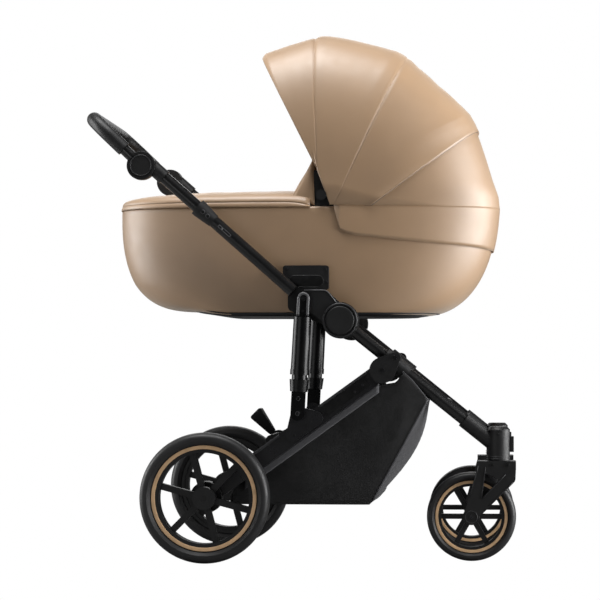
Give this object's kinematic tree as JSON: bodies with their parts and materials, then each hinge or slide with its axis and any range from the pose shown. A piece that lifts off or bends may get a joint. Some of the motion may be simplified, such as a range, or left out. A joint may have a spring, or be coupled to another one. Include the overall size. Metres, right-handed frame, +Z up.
{
  "type": "bassinet pram",
  "caption": "Bassinet pram: hooded padded carrycot on a folding frame with swivel front wheels, sprung rear legs, tilting handle and a storage basket.",
  "frame": {"origin": "middle of the footprint of the bounding box, on the floor", "axes": "+X forward to the swivel wheels, +Y to the pram's left, +Z up"},
  "size_m": [0.9325, 0.6, 1.1649],
  "materials": {
    "frame_paint": "satin black paint",
    "black_plastic": "moulded black plastic",
    "fabric_tan": "satin tan leatherette",
    "grip_leather": "dark grey leatherette",
    "tyre": "black foam tyre",
    "ring_bronze": "satin bronze",
    "basket_fabric": "charcoal woven fabric",
    "mattress_cloth": "quilted white cotton",
    "pin_steel": "brushed steel",
    "base_plastic": "moulded black plastic"
  },
  "bodies": {
    "frame": {"front_tube_left": "frame_paint", "front_tube_right": "frame_paint", "front_crossbar": "frame_paint", "fold_housing_left": "black_plastic", "fold_housing_right": "black_plastic", "fold_caps": "black_plastic", "swing_bracket_left": "black_plastic", "swing_bracket_right": "black_plastic", "caster_housing_left": "black_plastic", "caster_housing_right": "black_plastic", "frame_screws": "black_plastic"},
    "upper_frame": {"upper_tube_left": "frame_paint", "upper_tube_right": "frame_paint", "tilt_bases": "black_plastic"},
    "release_left": {"release_sleeve_left": "black_plastic"},
    "release_right": {"release_sleeve_right": "black_plastic"},
    "handle": {"handle_bar": "frame_paint", "handle_grip": "grip_leather", "tilt_discs": "black_plastic"},
    "button_left": {"tilt_button_left": "black_plastic"},
    "button_right": {"tilt_button_right": "black_plastic"},
    "rear_leg": {"rear_tube_left": "frame_paint", "rear_tube_right": "frame_paint", "side_plates": "black_plastic", "rear_axle": "black_plastic", "brake_crossbar": "frame_paint", "basket": "basket_fabric"},
    "pedal": {"brake_pedal": "black_plastic"},
    "pin_left": {"brake_pin_left": "pin_steel"},
    "pin_right": {"brake_pin_right": "pin_steel"},
    "strut_upper_left": {"strut_sleeve_left": "black_plastic"},
    "strut_upper_right": {"strut_sleeve_right": "black_plastic"},
    "strut_lower_left": {"strut_rod_left": "black_plastic"},
    "strut_lower_right": {"strut_rod_right": "black_plastic"},
    "caster_left": {"fork_left": "black_plastic"},
    "caster_right": {"fork_right": "black_plastic"},
    "lock_left": {"lock_lever_left": "black_plastic"},
    "lock_right": {"lock_lever_right": "black_plastic"},
    "front_wheel_left": {"front_tyre_left": "tyre", "front_rim_left": "black_plastic", "front_rings_left": "ring_bronze"},
    "front_wheel_right": {"front_tyre_right": "tyre", "front_rim_right": "black_plastic", "front_rings_right": "ring_bronze"},
    "rear_wheel_left": {"rear_tyre_left": "tyre", "rear_rim_left": "black_plastic", "rear_rings_left": "ring_bronze"},
    "rear_wheel_right": {"rear_tyre_right": "tyre", "rear_rim_right": "black_plastic", "rear_rings_right": "ring_bronze"},
    "bassinet": {"bassinet_tub": "fabric_tan", "bassinet_base": "base_plastic", "mattress": "mattress_cloth", "apron": "fabric_tan", "adapters": "black_plastic", "hood_hinges": "black_plastic", "hood_rear": "fabric_tan"},
    "hood_back_part": {"hood_back": "fabric_tan"},
    "hood_front_part": {"hood_front": "fabric_tan"},
    "hood_visor_part": {"hood_visor": "fabric_tan"}
  },
  "joints": [
    {"name": "handle_fold", "type": "hinge", "parent": "frame", "child": "upper_frame", "pos_m": [0.09, 0, 0.52], "axis": [0, 1, 0], "range_deg": [0, 160]},
    {"name": "handle_tilt", "type": "hinge", "parent": "upper_frame", "child": "handle", "pos_m": [-0.339, 0, 0.854], "axis": [0, 1, 0], "range_deg": [-50, 60]},
    {"name": "release_slide_left", "type": "slide", "parent": "upper_frame", "child": "release_left", "axis": [-0.7494, 0, 0.6621], "range_m": [0, 0.014], "stiffness_N_per_m": 120},
    {"name": "tilt_button_left", "type": "slide", "parent": "handle", "child": "button_left", "axis": [0, -1, 0], "range_m": [0, 0.004], "stiffness_N_per_m": 400},
    {"name": "release_slide_right", "type": "slide", "parent": "upper_frame", "child": "release_right", "axis": [-0.7494, 0, 0.6621], "range_m": [0, 0.014], "stiffness_N_per_m": 120},
    {"name": "tilt_button_right", "type": "slide", "parent": "handle", "child": "button_right", "axis": [0, 1, 0], "range_m": [0, 0.004], "stiffness_N_per_m": 400},
    {"name": "rear_swing", "type": "hinge", "parent": "frame", "child": "rear_leg", "pos_m": [0.18, 0, 0.413], "axis": [0, 1, 0], "range_deg": [0, 2.5], "stiffness_Nm_per_rad": 600, "springref_deg": -5.73},
    {"name": "strut_top_left", "type": "hinge", "parent": "frame", "child": "strut_upper_left", "pos_m": [0.012, 0.2605, 0.567], "axis": [0, 1, 0], "range_deg": [-0.1, 1.2]},
    {"name": "strut_foot_left", "type": "hinge", "parent": "rear_leg", "child": "strut_lower_left", "pos_m": [-0.001, 0.2605, 0.32], "axis": [0, 1, 0], "range_deg": [-1.6, 0.1]},
    {"name": "strut_top_right", "type": "hinge", "parent": "frame", "child": "strut_upper_right", "pos_m": [0.012, -0.2605, 0.567], "axis": [0, 1, 0], "range_deg": [-0.1, 1.2]},
    {"name": "strut_foot_right", "type": "hinge", "parent": "rear_leg", "child": "strut_lower_right", "pos_m": [-0.001, -0.2605, 0.32], "axis": [0, 1, 0], "range_deg": [-1.6, 0.1]},
    {"name": "brake_pedal", "type": "hinge", "parent": "rear_leg", "child": "pedal", "pos_m": [-0.062, 0, 0.262], "axis": [0, -1, 0], "range_deg": [0, 18]},
    {"name": "brake_pin_left", "type": "slide", "parent": "rear_leg", "child": "pin_left", "axis": [0, 1, 0], "range_m": [0, 0.006]},
    {"name": "brake_pin_right", "type": "slide", "parent": "rear_leg", "child": "pin_right", "axis": [0, -1, 0], "range_m": [0, 0.006]},
    {"name": "rear_wheel_left", "type": "hinge", "parent": "rear_leg", "child": "rear_wheel_left", "pos_m": [-0.199, 0.276, 0.14], "axis": [0, 1, 0], "continuous": true},
    {"name": "caster_swivel_left", "type": "hinge", "parent": "frame", "child": "caster_left", "pos_m": [0.429, 0.165, 0.24], "axis": [0, 0, 1], "continuous": true},
    {"name": "front_wheel_left", "type": "hinge", "parent": "caster_left", "child": "front_wheel_left", "pos_m": [0.37, 0.165, 0.0965], "axis": [0, 1, 0], "continuous": true},
    {"name": "swivel_lock_left", "type": "slide", "parent": "frame", "child": "lock_left", "axis": [0, 0, -1], "range_m": [0, 0.008]},
    {"name": "rear_wheel_right", "type": "hinge", "parent": "rear_leg", "child": "rear_wheel_right", "pos_m": [-0.199, -0.276, 0.14], "axis": [0, 1, 0], "continuous": true},
    {"name": "caster_swivel_right", "type": "hinge", "parent": "frame", "child": "caster_right", "pos_m": [0.429, -0.165, 0.24], "axis": [0, 0, 1], "continuous": true},
    {"name": "front_wheel_right", "type": "hinge", "parent": "caster_right", "child": "front_wheel_right", "pos_m": [0.37, -0.165, 0.0965], "axis": [0, 1, 0], "continuous": true},
    {"name": "swivel_lock_right", "type": "slide", "parent": "frame", "child": "lock_right", "axis": [0, 0, -1], "range_m": [0, 0.008]},
    {"name": "bassinet_lift", "type": "slide", "parent": "frame", "child": "bassinet", "axis": [0, 0, 1], "range_m": [0, 0.08]},
    {"name": "hood_fold", "type": "hinge", "parent": "bassinet", "child": "hood_back_part", "pos_m": [0.047, 0, 0.792], "axis": [0, 1, 0], "range_deg": [0, 25]},
    {"name": "hood_fold_front", "type": "hinge", "parent": "hood_back_part", "child": "hood_front_part", "pos_m": [0.047, 0, 0.792], "axis": [0, 1, 0], "range_deg": [0, 25]},
    {"name": "hood_fold_visor", "type": "hinge", "parent": "hood_front_part", "child": "hood_visor_part", "pos_m": [0.047, 0, 0.792], "axis": [0, 1, 0], "range_deg": [0, 15]}
  ],
  "couplings": [
    {"joint": "strut_top_left", "follows": "rear_swing", "ratio": 0.41394},
    {"joint": "strut_foot_left", "follows": "rear_swing", "ratio": -0.58606},
    {"joint": "strut_top_right", "follows": "rear_swing", "ratio": 0.41394},
    {"joint": "strut_foot_right", "follows": "rear_swing", "ratio": -0.58606},
    {"joint": "brake_pin_left", "follows": "brake_pedal", "m_per_rad": 0.0175},
    {"joint": "brake_pin_right", "follows": "brake_pedal", "m_per_rad": 0.0175},
    {"joint": "hood_fold_front", "follows": "hood_fold", "ratio": 1},
    {"joint": "hood_fold_visor", "follows": "hood_fold", "ratio": 0.6}
  ]
}
